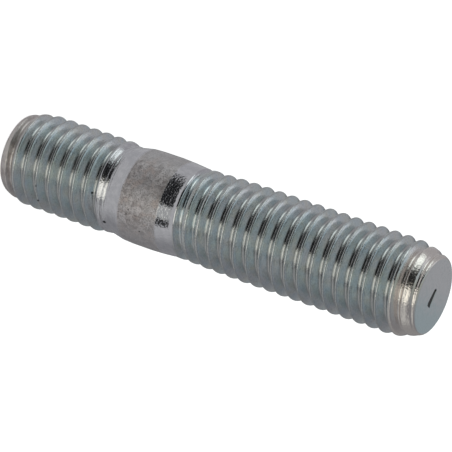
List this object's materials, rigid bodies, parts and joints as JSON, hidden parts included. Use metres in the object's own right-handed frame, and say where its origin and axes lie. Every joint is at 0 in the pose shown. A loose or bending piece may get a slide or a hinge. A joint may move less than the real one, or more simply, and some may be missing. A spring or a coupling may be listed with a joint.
{
  "type": "double-end stud bolt",
  "caption": "Double-end stud with a short tap-end thread, a plain shank and a long nut-end thread, zinc plated.",
  "frame": {"origin": "centre of the tap end's flat face, where the stud stands", "axes": "+Z along the axis from the tap end to the nut end; +X and +Y across it, with a groove of each thread centred near the +X side"},
  "size_m": [0.0118, 0.0118, 0.0579],
  "materials": {
    "zinc_plated_steel": "bright zinc plating with a faint blue passivation, lightly mottled"
  },
  "bodies": {
    "root": {"stud": "zinc_plated_steel"}
  },
  "joints": []
}
